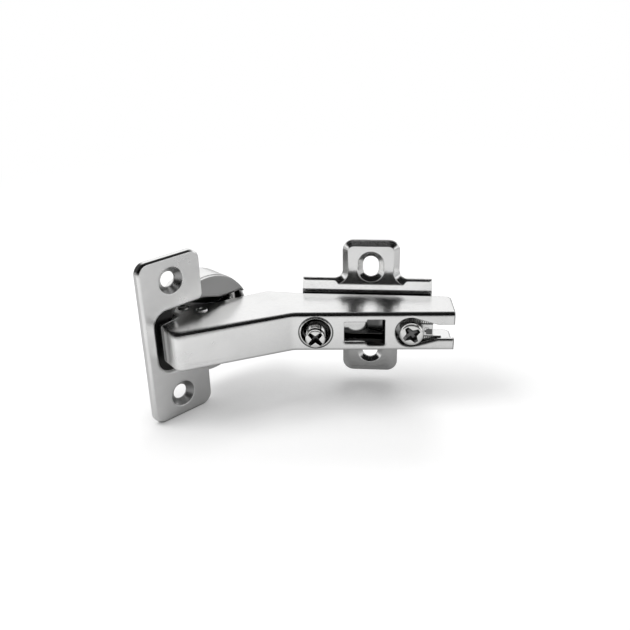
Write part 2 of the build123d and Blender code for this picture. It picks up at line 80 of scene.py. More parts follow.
class Body(Enum):
    """The bodies of the hinge that its new pieces ride on."""

    PLATE = "plate"
    FIXING_SCREW = "fixing_screw"
    ARM = "arm"
    OVERLAY_SCREW = "overlay_screw"
    OUTER_LINK = "outer_link"


class Slot(Enum):
    """The material slots of the record."""

    PRESSED_STEEL = "pressed_steel"
    CAST_ZINC = "cast_zinc"
    LINK_STEEL = "link_steel"
    SPRING_WIRE = "spring_wire"
    PIN_STEEL = "pin_steel"
    SCREW_STEEL = "screw_steel"


@dataclass(frozen=True)
class HingeAxes:
    """The hinge's own directions and points, closed, in millimetres.

    The arm's web leans a little against the plate, and the cup's (u, n) axes run
    across the cup towards the door's edge and out of the cup.
    """

    tilt: float = math.radians(3.84)
    bend: float = math.radians(22.6)
    turn: float = math.radians(46.4)
    bend_point: tuple[float, float] = (-25.2, -22.9)
    ear_centre: tuple[float, float] = (-38.65, -4.14)

    def along_arm(self) -> Vector:
        """Direction of the arm's rear stretch, towards its fork."""
        return Vector((math.cos(self.tilt), math.sin(self.tilt), 0.0))

    def into_arm(self) -> Vector:
        """Direction from the arm's web in towards the cabinet side."""
        return UP.cross(self.along_arm())

    def on_arm(self, x: float, depth: float) -> Vector:
        """A point on the middle of the arm's rear stretch.

        Args:
            x: Distance to the rear of the bend.
            depth: Distance in from the web's outer face.

        Returns:
            The point in the row's frame, in millimetres.
        """
        start = Vector((*self.bend_point, 0.0))
        return start + self.along_arm() * x + self.into_arm() * depth

    def across_cup(self) -> Vector:
        """Direction across the cup, from the arm's nose to the cup's far side."""
        angle = self.tilt + self.turn
        return Vector((math.cos(angle), math.sin(angle), 0.0))

    def out_of_cup(self) -> Vector:
        """Direction out of the cup, square to the ears' front faces."""
        return self.across_cup().cross(UP)

    def on_cup(self, u: float, n: float) -> Vector:
        """A point given on the cup's axes.

        Args:
            u: Distance across the cup from the ear screws' line.
            n: Distance out of the ears' front face.

        Returns:
            The point in the row's frame, in millimetres.
        """
        return self.on_arm(*self.ear_centre) + self.across_cup() * u + self.out_of_cup() * n


AXES = HingeAxes()


def metres(lengths: Sequence[float]) -> tuple[float, ...]:
    """Lengths in millimetres as metres."""
    return tuple(length * MM for length in lengths)


def into_scene(name: str, data: ID) -> Object:
    """Makes an object of a mesh, curve, lamp or camera and links it to the scene."""
    holder = bpy.data.objects.new(name, data)
    bpy.context.scene.collection.objects.link(holder)
    return holder


class MeshShop:
    """Builds the small boxes and turned, threaded and wire meshes of the pieces."""

    @staticmethod
    def object_from(bm: BMesh, name: str, sharp: float = 38.0) -> Object:
        """Turns a bmesh into a linked object with smooth faces between sharp edges.

        Args:
            bm: The mesh to take over; it is freed.
            name: Name of the new object.
            sharp: Edges that turn by more than this many degrees stay sharp.

        Returns:
            The new object.
        """
        bmesh.ops.recalc_face_normals(bm, faces=bm.faces)
        mesh = bpy.data.meshes.new(name)
        bm.to_mesh(mesh)
        bm.free()
        mesh.shade_smooth()
        mesh.set_sharp_from_angle(angle=math.radians(sharp))
        return into_scene(name, mesh)

    @staticmethod
    def frame_at(origin: Vector, axis: Vector) -> Matrix:
        """A placement in metres whose Z runs along an axis.

        Args:
            origin: Where the local origin goes, in millimetres.
            axis: Direction of the local Z.

        Returns:
            The placement matrix.
        """
        steep = 0.9
        z = axis.normalized()
        hint = UP if abs(z.z) < steep else Vector((1.0, 0.0, 0.0))
        x = hint.cross(z).normalized()
        y = z.cross(x)
        place = Matrix((x, y, z)).transposed().to_4x4()
        place.translation = origin * MM
        return place @ Matrix.Scale(MM, 4)

    @classmethod
    def turned(cls, name: str, profile: Profile, place: Matrix, steps: int = 72,
               closed: bool = False) -> Object:
        """Turns a profile of (radius, height) points about the local Z.

        Args:
            name: Name of the new object.
            profile: The points from the lower end to the upper end.
            place: Placement of the local axes.
            steps: Number of stretches round the axis.
            closed: True where the profile is a ring's section rather than a shaft's.

        Returns:
            The new object.
        """
        bm = bmesh.new()
        angles = [2 * math.pi * i / steps for i in range(steps)]
        rings = []
        for radius, height in profile:
            if radius == 0.0:
                rings.append([bm.verts.new((0.0, 0.0, height))])
                continue
            rings.append([bm.verts.new((radius * math.cos(a), radius * math.sin(a), height)) for a in angles])
        return cls.skinned(bm, rings, name, place, closed=closed)

    @classmethod
    def skinned(cls, bm: BMesh, rings: list[list], name: str, place: Matrix,
                sharp: float = 38.0, closed: bool = False) -> Object:
        """Joins rings of vertices to one skin.

        Args:
            bm: The mesh that the rings are in; it is freed.
            rings: The rings, from the lower end to the upper end.
            name: Name of the new object.
            place: Placement of the local axes.
            sharp: Edges that turn by more than this many degrees stay sharp.
            closed: True where the last ring meets the first.

        Returns:
            The new object.
        """
        for low, high in zip(rings, rings[1:]):
            cls.bridge(bm, low, high)
        if closed:
            cls.bridge(bm, rings[-1], rings[0])
        for end in () if closed else (rings[0], rings[-1]):
            if len(end) > 1:
                bm.faces.new(end)
        bm.transform(place)
        return cls.object_from(bm, name, sharp)

    @staticmethod
    def bridge(bm: BMesh, low: list, high: list) -> None:
        """Joins two rings of vertices, either of which may be a single point."""
        count = max(len(low), len(high))
        for i in range(count):
            j = (i + 1) % count
            around = [low[i % len(low)], low[j % len(low)], high[j % len(high)], high[i % len(high)]]
            unique = list(dict.fromkeys(around))
            if len(unique) > 2:
                bm.faces.new(unique)

    @classmethod
    def threaded(cls, name: str, radii: tuple[float, float], pitch: float, start: float,
                 end: float, place: Matrix) -> Object:
        """A threaded stretch of shaft that runs out to its root at both ends.

        Args:
            name: Name of the new object.
            radii: Radius at the bottom and at the top of the thread.
            pitch: Height of one turn.
            start: Lower end along the local Z.
            end: Upper end along the local Z.
            place: Placement of the local axes.

        Returns:
            The new object.
        """
        steps, rows_per_turn, crest_width = 60, 8, 1.25
        root, crest = radii
        bm = bmesh.new()
        rows = int((end - start) / pitch * rows_per_turn)
        rings = []
        for row in range(rows + 1):
            height = start + (end - start) * row / rows
            fade = max(0.0, min(1.0, (height - start) / pitch, (end - height) / pitch))
            ring = []
            for i in range(steps):
                angle = 2 * math.pi * i / steps
                phase = (height / pitch - angle / (2 * math.pi)) % 1.0
                rise = min(1.0, crest_width * (1.0 - abs(2.0 * phase - 1.0)))
                radius = root + (crest - root) * rise * fade
                ring.append(bm.verts.new((radius * math.cos(angle), radius * math.sin(angle), height)))
            rings.append(ring)
        return cls.skinned(bm, rings, name, place, sharp=50.0)

    @classmethod
    def cross_cutter(cls, half_width: float, reach: float, depth: float, waist: float,
                     place: Matrix) -> Object:
        """The four-armed plug that cuts a driver recess, tapering from above its mouth to its floor.

        Args:
            half_width: Half the width of an arm at the mouth.
            reach: How far an arm reaches from the axis at the mouth.
            depth: Depth of the recess.
            waist: How far the inner corners stand off both arms' middle lines.
            place: Placement whose Z points out of the mouth.

        Returns:
            The cutter.
        """
        heights_and_widths = ((0.6, 1.12), (0.0, 1.0), (-0.55 * depth, 0.8), (-depth, 0.42))
        bm = bmesh.new()
        rings = []
        for height, grow in heights_and_widths:
            ring = []
            for quarter in range(4):
                turn = Matrix.Rotation(quarter * math.pi / 2, 3, "Z")
                for x, y in ((reach * grow, -half_width), (reach * grow, half_width),
                             (waist * grow, waist * grow)):
                    ring.append(bm.verts.new(turn @ Vector((x, y, height))))
            rings.append(ring)
        return cls.skinned(bm, rings, "recess", place)

    @staticmethod
    def box(bm: BMesh, middle: Point, size: Point) -> None:
        """Adds a box to a mesh, by its middle and its lengths along X, Y and Z."""
        bmesh.ops.create_cube(bm, size=1.0, matrix=Matrix.LocRotScale(Vector(middle), None, Vector(size)))

    @staticmethod
    def shaped(piece: Object) -> Mesh:
        """The mesh of an object with all its modifiers or its bevel applied."""
        graph = bpy.context.evaluated_depsgraph_get()
        return bpy.data.meshes.new_from_object(piece.evaluated_get(graph), depsgraph=graph)

    @classmethod
    def carve(cls, piece: Object, cutter: Object) -> None:
        """Cuts a closed cutter out of a closed piece, marks the cut faces and removes the cutter."""
        for part in (piece, cutter):
            part.data.materials.append(None)
            part.data.materials.append(None)
        for face in cutter.data.polygons:
            face.material_index = 1
        cut = piece.modifiers.new("cut", "BOOLEAN")
        cut.operation = "DIFFERENCE"
        cut.solver = "EXACT"
        cut.object = cutter
        carved = cls.shaped(piece)
        piece.modifiers.clear()
        piece.data = carved
        bpy.data.objects.remove(cutter)

    @staticmethod
    def mark_rings(piece: Object, place: Matrix, bands: Profile) -> None:
        """Marks the rings of a turned piece that get the dark finish of painted shade.

        Args:
            piece: The turned piece.
            place: Placement of its local axes.
            bands: Least and greatest radius of each ring.
        """
        back = place.inverted()
        for face in piece.data.polygons:
            spot = back @ face.center
            radius = math.hypot(spot.x, spot.y)
            face.material_index = int(any(low < radius < high for low, high in bands))

    @classmethod
    def wire(cls, name: str, points: Iterable[Vector], radius: float) -> Object:
        """A round wire through points given in millimetres.

        Args:
            name: Name of the new object.
            points: The points the wire's middle follows.
            radius: The wire's radius.

        Returns:
            The wire as a mesh object.
        """
        curve = bpy.data.curves.new(name, "CURVE")
        curve.dimensions = "3D"
        curve.bevel_depth = radius * MM
        curve.bevel_resolution = 5
        curve.use_fill_caps = True
        spline = curve.splines.new("POLY")
        places = [point * MM for point in points]
        spline.points.add(len(places) - 1)
        for point, place in zip(spline.points, places):
            point.co = (*place, 1.0)
        holder = into_scene(name, curve)
        mesh = cls.shaped(holder)
        bpy.data.objects.remove(holder)
        mesh.shade_smooth()
        return into_scene(name, mesh)


class NodeBench:
    """Short ways to place and join shader nodes in one tree."""

    def __init__(self, tree: NodeTree) -> None:
        """Keeps the tree that the nodes go in."""
        self.tree = tree

    def feed(self, value: Value, socket: NodeSocket) -> None:
        """Links an input to the socket it is given, or sets it to a number, vector or colour."""
        if isinstance(value, NodeSocket):
            self.tree.links.new(value, socket)
        else:
            socket.default_value = value

    def add(self, kind: str, **settings: object) -> Node:
        """Adds a node, sets its properties and feeds its inputs.

        Args:
            kind: The node's type name.
            settings: Properties by name, or values for inputs by name with spaces as underscores.

        Returns:
            The node.
        """
        node = self.tree.nodes.new(kind)
        for key, value in settings.items():
            if hasattr(node, key):
                setattr(node, key, value)
                continue
            self.feed(value, node.inputs[key.replace("_", " ")])
        return node

    def group(self, tree: NodeTree, **settings: Value) -> Sockets:
        """Adds a shared group with values for its inputs, and returns its outputs."""
        return self.add("ShaderNodeGroup", node_tree=tree, **settings).outputs

    def math(self, operation: str, *values: Value) -> NodeSocket:
        """Combines values by one math operation, from left to right.

        Args:
            operation: The operation's name.
            values: The sockets or numbers; a single one for an operation on one value.

        Returns:
            The result.
        """
        result = values[0]
        for value in values[1:] or (0.0,):
            node = self.add("ShaderNodeMath", operation=operation)
            self.feed(result, node.inputs[0])
            self.feed(value, node.inputs[1])
            result = node.outputs["Value"]
        return result

    def times(self, *values: Value) -> NodeSocket:
        """The product of some values."""
        return self.math("MULTIPLY", *values)

    def most(self, *values: Value) -> NodeSocket:
        """The greatest of some values."""
        return self.math("MAXIMUM", *values)

    def below(self, value: NodeSocket, limit: Value) -> NodeSocket:
        """1 where a value is below a limit."""
        return self.math("LESS_THAN", value, limit)

    def above(self, value: NodeSocket, limit: Value) -> NodeSocket:
        """1 where a value is above a limit."""
        return self.math("GREATER_THAN", value, limit)

    def vector(self, operation: str, first: NodeSocket,
               second: Sequence[float] = (0.0, 0.0, 0.0)) -> Sockets:
        """Works on a vector, alone or with a fixed one, and returns the outputs Vector and Value."""
        node = self.add("ShaderNodeVectorMath", operation=operation)
        self.feed(first, node.inputs[0])
        self.feed(second, node.inputs[1])
        return node.outputs

    def ramp(self, value: NodeSocket, start: float, end: float, low: Value = 0.0,
             high: Value = 1.0) -> NodeSocket:
        """Runs evenly from one value to another over a stretch, and stays level outside it.

        Args:
            value: The value that moves along the stretch.
            start: Where the stretch starts.
            end: Where it ends.
            low: The result at its start.
            high: The result at its end.

        Returns:
            The result.
        """
        node = self.add("ShaderNodeMapRange", Value=value, From_Min=start, From_Max=end, To_Min=low,
                        To_Max=high)
        return node.outputs["Result"]

    def blend(self, factor: NodeSocket, low: Value, high: Value) -> NodeSocket:
        """Mixes two values by a mask, which gives the low one at 0 and the high one at 1."""
        return self.ramp(factor, 0.0, 1.0, low, high)

    def tint(self, factor: NodeSocket, low: Value, high: Value) -> NodeSocket:
        """Mixes two colours by a mask, which gives the low one at 0 and the high one at 1."""
        mix = self.add("ShaderNodeMix", data_type="RGBA")
        colour_sockets, colour_result = (0, 6, 7), 2
        for value, index in zip((factor, low, high), colour_sockets):
            self.feed(value, mix.inputs[index])
        return mix.outputs[colour_result]

    def place(self) -> NodeSocket:
        """The shaded point's place on its own piece, in metres, which moves with its body."""
        return self.add("ShaderNodeTexCoord").outputs["Object"]

    def split(self, vector: NodeSocket) -> Sequence[NodeSocket]:
        """A vector's X, Y and Z."""
        return tuple(self.add("ShaderNodeSeparateXYZ", Vector=vector).outputs)

    def noise(self, vector: NodeSocket, scale: Value, **settings: float) -> NodeSocket:
        """A noise between 0 and 1, read at a vector, with the node's other inputs as settings."""
        return self.add("ShaderNodeTexNoise", Vector=vector, Scale=scale, **settings).outputs["Fac"]

    def facing(self, radius: Value, samples: int) -> Sequence[NodeSocket]:
        """The X, Y and Z of a normal that turns smoothly round each edge, within a radius in metres."""
        return self.split(self.add("ShaderNodeBevel", samples=samples, Radius=radius).outputs["Normal"])

    def distance(self, first: NodeSocket, second: NodeSocket) -> NodeSocket:
        """How far a point is from the origin, from its two coordinates."""
        squares = [self.times(value, value) for value in (first, second)]
        return self.math("SQRT", self.math("ADD", *squares))


@dataclass(frozen=True)
class Zones:
    """Where the shared effects start and end, in millimetres.

    The zones of the cup, its shoulder, pocket, countersinks (sink) and the opening beside it
    for the nose, are on its own axes: across it from its ear screws' line, out of its ears'
    front face, and up. Past aside_start, or below aside_top, the pocket's painted shade is weaker
    where other metal mirrors it. The painted shade on the plate's bed, and the nose and the bend
    between which the painted fold line narrows, are in the row's frame. Outline is the width of
    the painted dark line round the arm's end faces.
    """

    cup_middle: float = 15.0
    cup_wall: float = 16.9
    cup_rim: float = 17.6
    shoulder: tuple[float, float] = (-1.15, -0.85)
    pocket_floor: float = -12.2
    pocket_half: float = 11.3
    beside_start: float = -8.0
    beside_floor: float = -2.1
    pocket_fade: tuple[float, float] = (0.0, 9.0)
    aside_top: float = 7.6
    aside_start: float = 1.0
    ear_screw: float = 21.0
    sink_radius: float = 4.6
    sink_top: float = -0.04
    bed_front: float = -12.0
    bed_rear: float = 11.0
    bed_fade: tuple[float, float] = (3.0, 9.0)
    bed_lower: tuple[float, float] = (2.0, -1.0)
    nose: float = -66.0
    bend: float = -30.0
    outline: float = 0.7


ZONES = Zones()


class SurfaceEffects:
    """The shader node groups that several finishes share, each built once."""

    def __init__(self) -> None:
        """Builds the groups."""
        self.drawn_grain = self.build_drawn_grain()
        self.cast_skin = self.build_cast_skin()
        self.handling = self.build_handling()
        self.recess = self.build_recess_shade()
        self.cup_zones = self.build_cup_zones()
        self.rounded_edges = self.build_rounded_edges()
        self.painted_fold_line = self.build_painted_fold_line()
        self.bed_shade = self.build_bed_shade()

    @staticmethod
    def start(name: str, inputs: dict[str, float], outputs: Sequence[str]
              ) -> tuple[NodeBench, Sockets, Sockets]:
        """Makes an empty group.

        Args:
            name: Name of the group.
            inputs: Number inputs and their defaults.
            outputs: Number outputs, and Normal for a vector.

        Returns:
            The bench, what the group is given and what it puts out.
        """
        tree = bpy.data.node_groups.new(name, "ShaderNodeTree")
        for key, value in inputs.items():
            socket = tree.interface.new_socket(key, in_out="INPUT", socket_type="NodeSocketFloat")
            socket.default_value = value
        for key in outputs:
            kind = "NodeSocketVector" if key == "Normal" else "NodeSocketFloat"
            tree.interface.new_socket(key, in_out="OUTPUT", socket_type=kind)
        bench = NodeBench(tree)
        return bench, bench.add("NodeGroupInput").outputs, bench.add("NodeGroupOutput").inputs

    @classmethod
    def build_drawn_grain(cls) -> NodeTree:
        """The fine grain of rolled and plated sheet, a little longer along X."""
        stretch, clean, worn = (0.4, 1.0, 1.0), 0.35, 0.65
        bench, given, out = cls.start("drawn_grain", {"Fineness": 2600.0}, ("Height", "Mask"))
        stretched = bench.vector("MULTIPLY", bench.place(), stretch)["Vector"]
        grain = bench.noise(stretched, given["Fineness"], Detail=3.0, Roughness=0.6)
        bench.feed(grain, out["Height"])
        bench.feed(bench.ramp(grain, clean, worn), out["Mask"])
        return bench.tree

    @classmethod
    def build_cast_skin(cls) -> NodeTree:
        """The slightly pebbled skin of a plated casting."""
        waviness, wave_scale, clean, worn = 1.5, 160.0, 0.4, 0.62
        bench, given, out = cls.start("cast_skin", {"Fineness": 1400.0}, ("Height", "Mask"))
        place = bench.place()
        fine = bench.noise(place, given["Fineness"], Detail=4.0, Roughness=0.55)
        broad = bench.noise(place, wave_scale, Detail=2.0)
        bench.feed(bench.math("ADD", fine, bench.times(broad, waviness)), out["Height"])
        bench.feed(bench.ramp(broad, clean, worn), out["Mask"])
        return bench.tree

    @classmethod
    def build_handling(cls) -> NodeTree:
        """Faint cloudy marks that handling leaves in a bright surface."""
        cloud_scale, clean, marked = 60.0, 0.42, 0.68
        bench, _, out = cls.start("handling", {}, ("Mask",))
        clouds = bench.noise(bench.place(), cloud_scale, Detail=5.0, Roughness=0.62, Distortion=0.6)
        bench.feed(bench.ramp(clouds, clean, marked), out["Mask"])
        return bench.tree

    @classmethod
    def build_recess_shade(cls) -> NodeTree:
        """Painted shade where walls stand close together, a mask from ambient occlusion within a reach."""
        open_air, shut_in = 0.72, 0.12
        bench, given, out = cls.start("recess", {"Reach": 0.006}, ("Mask",))
        openness = bench.add("ShaderNodeAmbientOcclusion", samples=8, Distance=given["Reach"]).outputs["AO"]
        bench.feed(bench.ramp(openness, open_air, shut_in), out["Mask"])
        return bench.tree

    @classmethod
    def build_cup_zones(cls) -> NodeTree:
        """Masks of the cup's upper shoulder, its pocket and its countersinks, where shade is painted darker
        than its ears.

        Aside is the part of the pocket whose painted shade is weaker in reflections.
        """
        far_shade = 0.2
        bench, _, out = cls.start("cup_zones", {}, ("Shoulder", "Pocket", "Aside", "Sink"))
        local = bench.vector("SUBTRACT", bench.place(), AXES.on_cup(0.0, 0.0) * MM)["Vector"]
        across, out_by, up = (
            bench.vector("DOT_PRODUCT", local, direction / MM)["Value"]
            for direction in (AXES.across_cup(), AXES.out_of_cup(), UP))
        height = bench.math("ABSOLUTE", up)
        radius = bench.distance(bench.math("SUBTRACT", across, ZONES.cup_middle), up)
        shoulder_foot, shoulder_top = ZONES.shoulder
        shoulder = bench.times(bench.below(out_by, shoulder_top), bench.above(out_by, shoulder_foot),
                               bench.below(radius, ZONES.cup_rim), bench.above(up, 0.0))
        bench.feed(shoulder, out["Shoulder"])
        beside = bench.times(bench.above(across, ZONES.beside_start), bench.above(out_by, ZONES.beside_floor))
        open_to = bench.most(bench.below(radius, ZONES.cup_wall), beside)
        pocket_shade = bench.times(bench.below(out_by, shoulder_foot), bench.above(out_by, ZONES.pocket_floor),
                             bench.below(height, ZONES.pocket_half), open_to,
                             bench.ramp(across, *ZONES.pocket_fade, 1.0, far_shade))
        bench.feed(pocket_shade, out["Pocket"])
        aside = bench.most(bench.below(up, ZONES.aside_top), bench.above(across, ZONES.aside_start))
        bench.feed(aside, out["Aside"])
        from_screw = bench.distance(across, bench.math("SUBTRACT", height, ZONES.ear_screw))
        sink = bench.times(bench.below(from_screw, ZONES.sink_radius), bench.below(out_by, ZONES.sink_top))
        bench.feed(sink, out["Sink"])
        return bench.tree

    @classmethod
    def build_bed_shade(cls) -> NodeTree:
        """Painted shade on the channel's low bed and along its lower side, under the arm's window."""
        strength = 0.88
        bench, _, out = cls.start("bed_shade", {}, ("Mask",))
        along, depth, height = bench.split(bench.place())
        before = bench.ramp(along, *metres(ZONES.bed_fade), 1.0, 0.0)
        lower = bench.ramp(height, *metres(ZONES.bed_lower))
        shade = bench.times(bench.most(before, lower), bench.below(depth, ZONES.bed_front * MM),
                            bench.below(along, ZONES.bed_rear * MM), strength)
        bench.feed(shade, out["Mask"])
        return bench.tree

    @classmethod
    def build_painted_fold_line(cls) -> NodeTree:
        """A painted dark line that stands in for dark reflections: along the front folds, round the rear end
        and up the nose.
        """
        nose_strength, fold_span, end_span, nose_span = 0.75, (0.1, 0.3), (0.12, 0.4), (0.4, 0.5)
        inputs = {"Wide": 0.003, "Narrow": 0.0017, "Above": -1.0}
        bench, given, out = cls.start("painted_fold_line", inputs, ("Mask",))
        along, _, height = bench.split(bench.place())
        width = bench.ramp(along, ZONES.nose * MM, ZONES.bend * MM, given["Wide"], given["Narrow"])
        _, back, top = bench.facing(width, 12)
        painted_fold = cls.corner(bench, bench.times(back, -1.0), top, fold_span)
        right, back, top = bench.facing(ZONES.outline * MM, 8)
        left, front = (bench.times(side, -1.0) for side in (right, back))
        end = cls.corner(bench, right, bench.most(top, front), end_span)
        end = bench.times(end, bench.above(along, 0.0))
        nose = cls.corner(bench, left, front, nose_span)
        nose = bench.times(nose, nose_strength, bench.below(along, ZONES.nose * MM))
        line = bench.times(bench.most(painted_fold, end, nose), bench.above(height, given["Above"]))
        bench.feed(line, out["Mask"])
        return bench.tree

    @staticmethod
    def corner(bench: NodeBench, first: NodeSocket, second: NodeSocket,
               span: tuple[float, float]) -> NodeSocket:
        """Where a surface faces two sides at once, as only the corner between them does.

        Args:
            bench: The tree's bench.
            first: How far it faces the first side.
            second: How far it faces the second side.
            span: Products of the two where the mask starts and where it is full.

        Returns:
            The mask.
        """
        facing = [bench.most(value, 0.0) for value in (first, second)]
        return bench.ramp(bench.times(*facing), *span)

    @classmethod
    def build_rounded_edges(cls) -> NodeTree:
        """Normals that run smoothly round each edge, as tumbling leaves it."""
        bench, given, out = cls.start("rounded_edges", {"Radius": 0.0003}, ("Normal",))
        bench.feed(bench.add("ShaderNodeBevel", samples=12, Radius=given["Radius"]).outputs["Normal"],
                   out["Normal"])
        return bench.tree


@dataclass(frozen=True)
class MetalFinish:
    """One plated or bare metal finish of the hinge.

    Args:
        name: The material's name.
        slot: The record's slot that it stands for; not used.
        light: Grey level where the plating is clean.
        dull: Grey level where it is handled or grained.
        smooth: Roughness of the brightest places.
        rough: Roughness of the dullest places.
        blue: How much more blue than red its colour has.
        cast: True for the skin of a casting, False for drawn sheet.
        fineness: How fine the grain or skin is.
        relief: Height of the grain or skin, in millimetres.
        rounding: Radius of its worn edges, in millimetres.
        reach: How near walls have to be for a recess to get painted shade, in millimetres.
        depth: How dark the painted shade in the deepest recess gets, from 0 to 1.
        shoulder: Grey level painted as shade on the cup's shoulders where they are seen directly, where the
            finish is the cup's.
        painted_fold: Width of the painted dark line, standing in for dark reflections, along its upper folds
            at the nose and past the bend, and the height that it starts at, in millimetres.
        bed_shaded: True where shade is painted on the channel's bed.
    """

    name: str
    slot: Slot
    light: float
    dull: float
    smooth: float
    rough: float
    blue: float = 0.0
    cast: bool = False
    fineness: float = 2600.0
    relief: float = 0.006
    rounding: float = 0.35
    reach: float = 7.0
    depth: float = 0.9
    shoulder: float = 0.0
    painted_fold: tuple[float, ...] = ()
    bed_shaded: bool = False

    grain_wear = 0.55
    # Share of the dull colour that the darkest painted shade reaches.
    shade = 0.04
    # Grey level of the shade painted in the cup's countersinks.
    sink_shade_level = 0.36
    worn_gloss = 0.34
    # Share of the cup's painted shade that stays where other metal mirrors it.
    mirrored_shade = 0.25
    relief_strength = 0.5

    def colour(self, level: float, share: float = 1.0) -> tuple[float, float, float, float]:
        """The finish's colour at a grey level, or a share of it."""
        return (level * share, level * share, (level + self.blue) * share, 1.0)

    def build(self, effects: SurfaceEffects) -> Material:
        """Builds the material from the shared effects.

        Args:
            effects: The shared node groups.

        Returns:
            The finished material.
        """
        material = bpy.data.materials.new(self.name)
        material.use_nodes = True
        bench = NodeBench(material.node_tree)
        shader = material.node_tree.nodes["Principled BSDF"].inputs
        shader["Metallic"].default_value = 1.0
        skin = bench.group(effects.cast_skin if self.cast else effects.drawn_grain, Fineness=self.fineness)
        grained = bench.times(skin["Mask"], self.grain_wear)
        wear = bench.most(grained, bench.group(effects.handling)["Mask"])
        plated = bench.tint(wear, self.colour(self.light), self.colour(self.dull))
        gloss = bench.blend(wear, self.smooth, self.rough)
        # Shade painted into the colour: in recesses, and where set, on the cup, along the folds and on the
        # channel's bed.
        recess_shade = bench.group(effects.recess, Reach=self.reach * MM)["Mask"]
        painted_shade = bench.times(recess_shade, self.depth)
        if self.shoulder:
            plated, painted_shade, gloss = self.paint_cup_shade(bench, effects, plated, painted_shade, gloss)
        if self.painted_fold:
            wide, narrow, above = metres(self.painted_fold)
            line = bench.group(effects.painted_fold_line, Wide=wide, Narrow=narrow, Above=above)["Mask"]
            painted_shade = bench.most(painted_shade, line)
        if self.bed_shaded:
            painted_shade = bench.most(painted_shade, bench.group(effects.bed_shade)["Mask"])
        bench.feed(bench.tint(painted_shade, plated, self.colour(self.dull, self.shade)), shader["Base Color"])
        bench.feed(gloss, shader["Roughness"])
        edges = bench.group(effects.rounded_edges, Radius=self.rounding * MM)["Normal"]
        bump = bench.add("ShaderNodeBump", Strength=self.relief_strength, Distance=self.relief * MM,
                         Height=skin["Height"], Normal=edges)
        bench.feed(bump.outputs["Normal"], shader["Normal"])
        return material

    def paint_cup_shade(self, bench: NodeBench, effects: SurfaceEffects, plated: NodeSocket,
                 painted_shade: NodeSocket, gloss: NodeSocket
                 ) -> tuple[NodeSocket, NodeSocket, NodeSocket]:
        """Paints shade on the cup's shoulder, pocket and countersinks, less so where other metal mirrors
        them.

        Args:
            bench: The material's bench.
            effects: The shared node groups.
            plated: Colour of the plating.
            painted_shade: How much shade is painted into the recesses.
            gloss: Roughness of the plating.

        Returns:
            The changed colour, painted shade and roughness.
        """
        zones = bench.group(effects.cup_zones)
        mirrored = bench.add("ShaderNodeLightPath").outputs["Is Glossy Ray"]
        painted_shade = bench.times(painted_shade, bench.blend(mirrored, 1.0, self.mirrored_shade))
        seen = bench.math("SUBTRACT", 1.0, mirrored)
        # Shade painted on the cup's shoulder, only where it is seen directly.
        shoulder = bench.times(zones["Shoulder"], seen)
        plated = bench.tint(shoulder, plated, (*[self.shoulder] * 3, 1.0))
        # Grey shade painted in the cup's countersinks.
        plated = bench.tint(zones["Sink"], plated, (*[self.sink_shade_level] * 3, 1.0))
        # Shade painted in the cup's pocket, weaker on its far side where other metal mirrors it.
        far_side = bench.times(mirrored, zones["Aside"])
        pocket_shade = bench.times(zones["Pocket"], bench.blend(far_side, 1.0, self.mirrored_shade))
        painted_shade = bench.most(painted_shade, pocket_shade)
        gloss = bench.blend(bench.most(zones["Shoulder"], pocket_shade), gloss, self.worn_gloss)
        return plated, painted_shade, gloss


@dataclass
class Finishes:
    """All the finishes of the hinge, made once."""

    effects: SurfaceEffects = field(default_factory=SurfaceEffects)
    made: dict[str, Material] = field(default_factory=dict)

    pressed: MetalFinish = MetalFinish(
        "nickel_on_pressed_steel", Slot.PRESSED_STEEL, 0.92, 0.86, 0.19, 0.28, blue=-0.005,
        fineness=1900.0, relief=0.028, rounding=0.5, reach=4.0, depth=0.6, painted_fold=(4.2, 1.8, -60.0))
    # The plate's finish, with shade painted on the channel's bed.
    plate: MetalFinish = MetalFinish(
        "nickel_on_plate", Slot.PRESSED_STEEL, 0.88, 0.8, 0.09, 0.17, blue=-0.005,
        rounding=0.5, reach=11.0, bed_shaded=True)
    cast: MetalFinish = MetalFinish(
        "nickel_on_cast_zinc", Slot.CAST_ZINC, 0.92, 0.86, 0.27, 0.36, blue=-0.005, cast=True,
        fineness=1900.0, relief=0.003, rounding=0.7, reach=3.0, depth=0.96, painted_fold=(0.22, 0.22, 26.0),
        shoulder=0.36)
    link: MetalFinish = MetalFinish("dull_link_steel", Slot.LINK_STEEL, 0.7, 0.6, 0.24, 0.36)
    wire: MetalFinish = MetalFinish(
        "oiled_spring_wire", Slot.SPRING_WIRE, 0.4, 0.3, 0.22, 0.34, blue=0.01, relief=0.003)
    pin: MetalFinish = MetalFinish(
        "bright_pin", Slot.PIN_STEEL, 0.88, 0.78, 0.14, 0.24, blue=-0.01, cast=True,
        fineness=2400.0, relief=0.003, rounding=0.15)
    screw: MetalFinish = MetalFinish(
        "bright_screw", Slot.SCREW_STEEL, 0.88, 0.76, 0.11, 0.22, blue=-0.01, cast=True,
        fineness=1900.0, relief=0.005, rounding=0.12, reach=3.0)
    # Dark painted shade for the screws' driver recesses, the funnel lip's rings, the strips under the ribs
    # and the tab's pocket.
    recess: MetalFinish = MetalFinish(
        "shaded_recess", Slot.SCREW_STEEL, 0.16, 0.09, 0.12, 0.25, cast=True,
        fineness=1900.0, relief=0.005, rounding=0.12, reach=3.0)

    def coat(self, piece: Object, finish: MetalFinish) -> None:
        """Adds a finish to a piece's materials, after those that it has.

        Args:
            piece: The piece.
            finish: The finish, which is built on its first use.
        """
        if finish.name not in self.made:
            self.made[finish.name] = finish.build(self.effects)
        piece.data.materials.append(self.made[finish.name])

    def dress(self, piece: Object, finish: MetalFinish) -> None:
        """Gives a piece its finish.

        Args:
            piece: A new piece or a CAD node's object.
            finish: The finish it gets.
        """
        if "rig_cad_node" in piece:
            piece.data.materials.clear()
        self.coat(piece, finish)


